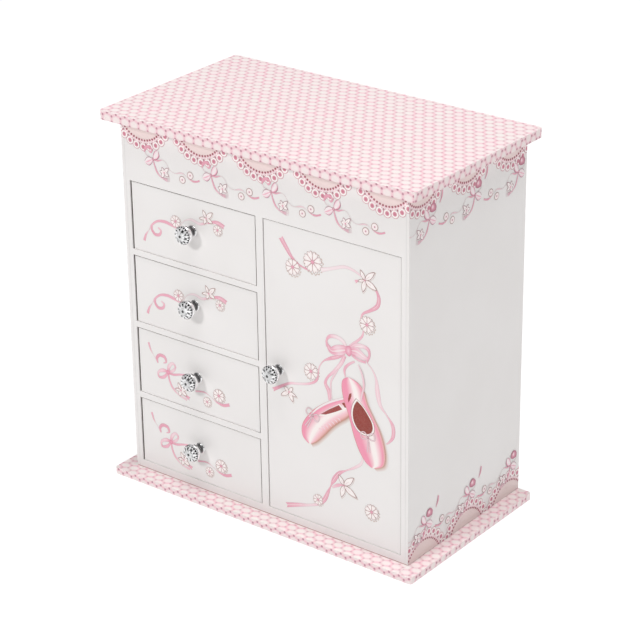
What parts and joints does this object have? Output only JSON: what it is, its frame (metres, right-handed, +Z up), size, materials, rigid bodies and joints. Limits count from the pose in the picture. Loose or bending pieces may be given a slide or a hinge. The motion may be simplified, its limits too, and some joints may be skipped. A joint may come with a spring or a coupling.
{
  "type": "ballerina jewellery box",
  "caption": "White paper-covered ballerina jewellery box with pink woven-pattern lid and base, drawers, a necklace cupboard, a mirror and a wind-up turning dancer.",
  "frame": {"origin": "on the ground under the middle of the box, which is the middle of its bounding box", "axes": "+X to the right, +Y to the back (the hinge side), +Z up"},
  "size_m": [0.2378, 0.144, 0.2518],
  "materials": {
    "paper_white": "satin paper on board",
    "paper_woven_pink": "printed woven-pattern paper",
    "paper_lining": "pink lining paper",
    "velour": "short flocked pile",
    "satin": "polyester satin",
    "tulle": "stiff net",
    "steel": "plated",
    "brass": "polished",
    "knob_chrome": "bright plated",
    "crystal": "cut faces",
    "mirror_glass": "silvered",
    "dancer_plastic": "painted",
    "magnet_housing": "moulded"
  },
  "bodies": {
    "box": {"felt_feet": "velour", "base_board": "paper_woven_pink", "floor_board": "paper_white", "side_panel_left": "paper_white", "side_panel_right": "paper_white", "back_panel": "paper_white", "front_top_panel": "paper_white", "centre_divider": "paper_white", "drawer_shelf_1": "paper_white", "drawer_shelf_2": "paper_white", "drawer_shelf_3": "paper_white", "tray_floor": "paper_lining", "tray_divider": "paper_lining", "tray_cross_divider": "paper_lining", "ring_rolls": "satin", "bin_lining": "velour", "stage_mat": "velour", "spindle_bush": "brass", "movement_shelf": "paper_white", "movement_fascia": "paper_white", "movement_bedplate": "steel", "movement_comb": "steel", "hinge_leaves_body": "brass", "hinge_pins": "steel", "door_magnet": "magnet_housing", "peg_rail": "paper_white", "necklace_pegs": "brass", "necklace_pouch": "satin"},
    "lid": {"lid_panel": "paper_woven_pink", "lid_mirror": "mirror_glass", "hinge_leaves_lid": "brass"},
    "spindle_set": {"spindle": "steel", "movement_cylinder": "brass"},
    "dancer": {"ballerina_figure": "dancer_plastic", "ballerina_tutu": "tulle", "ballerina_spring": "steel"},
    "governor": {"movement_governor": "brass"},
    "barrel": {"spring_barrel": "brass"},
    "key": {"winding_key": "steel"},
    "door": {"door_panel": "paper_white", "door_pivot_pins": "steel", "door_strike": "steel", "door_knob_mount": "knob_chrome", "door_knob_crystal": "crystal"},
    "drawer_1": {"drawer_1_front": "paper_white", "drawer_1_tray": "paper_lining", "drawer_1_knob_mount": "knob_chrome", "drawer_1_knob_crystal": "crystal"},
    "drawer_2": {"drawer_2_front": "paper_white", "drawer_2_tray": "paper_lining", "drawer_2_knob_mount": "knob_chrome", "drawer_2_knob_crystal": "crystal"},
    "drawer_3": {"drawer_3_front": "paper_white", "drawer_3_tray": "paper_lining", "drawer_3_knob_mount": "knob_chrome", "drawer_3_knob_crystal": "crystal"},
    "drawer_4": {"drawer_4_front": "paper_white", "drawer_4_tray": "paper_lining", "drawer_4_knob_mount": "knob_chrome", "drawer_4_knob_crystal": "crystal"}
  },
  "joints": [
    {"name": "lid_hinge", "type": "hinge", "parent": "box", "child": "lid", "pos_m": [0, 0.0641, 0.24565], "axis": [-1, 0, 0], "range_deg": [0, 100]},
    {"name": "ballerina_spin", "type": "hinge", "parent": "box", "child": "spindle_set", "pos_m": [0.05265, 0, 0.22685], "axis": [0, 0, 1], "continuous": true},
    {"name": "ballerina_fold", "type": "hinge", "parent": "spindle_set", "child": "dancer", "pos_m": [0.05265, 0, 0.22685], "axis": [-1, 0, 0], "range_deg": [0, 90], "deforming": ["ballerina_spring"]},
    {"name": "governor_turn", "type": "hinge", "parent": "box", "child": "governor", "pos_m": [0.04125, 0, 0.19235], "axis": [0, 0, 1], "continuous": true},
    {"name": "barrel_turn", "type": "hinge", "parent": "box", "child": "barrel", "pos_m": [0.05265, 0, 0.17035], "axis": [0, 1, 0], "continuous": true},
    {"name": "key_turn", "type": "hinge", "parent": "box", "child": "key", "pos_m": [0.05265, 0.06, 0.17035], "axis": [0, 1, 0], "continuous": true},
    {"name": "door_hinge", "type": "hinge", "parent": "box", "child": "door", "pos_m": [0.1015, -0.0584, 0.1091], "axis": [0, 0, 1], "range_deg": [0, 95]},
    {"name": "drawer_1_slide", "type": "slide", "parent": "box", "child": "drawer_1", "axis": [0, -1, 0], "range_m": [0, 0.08]},
    {"name": "drawer_2_slide", "type": "slide", "parent": "box", "child": "drawer_2", "axis": [0, -1, 0], "range_m": [0, 0.08]},
    {"name": "drawer_3_slide", "type": "slide", "parent": "box", "child": "drawer_3", "axis": [0, -1, 0], "range_m": [0, 0.08]},
    {"name": "drawer_4_slide", "type": "slide", "parent": "box", "child": "drawer_4", "axis": [0, -1, 0], "range_m": [0, 0.08]}
  ],
  "couplings": [
    {"joint": "ballerina_fold", "follows": "lid_hinge", "ratio": 0.9},
    {"joint": "governor_turn", "follows": "ballerina_spin", "ratio": -1.7},
    {"joint": "barrel_turn", "follows": "ballerina_spin", "ratio": 0.29}
  ]
}
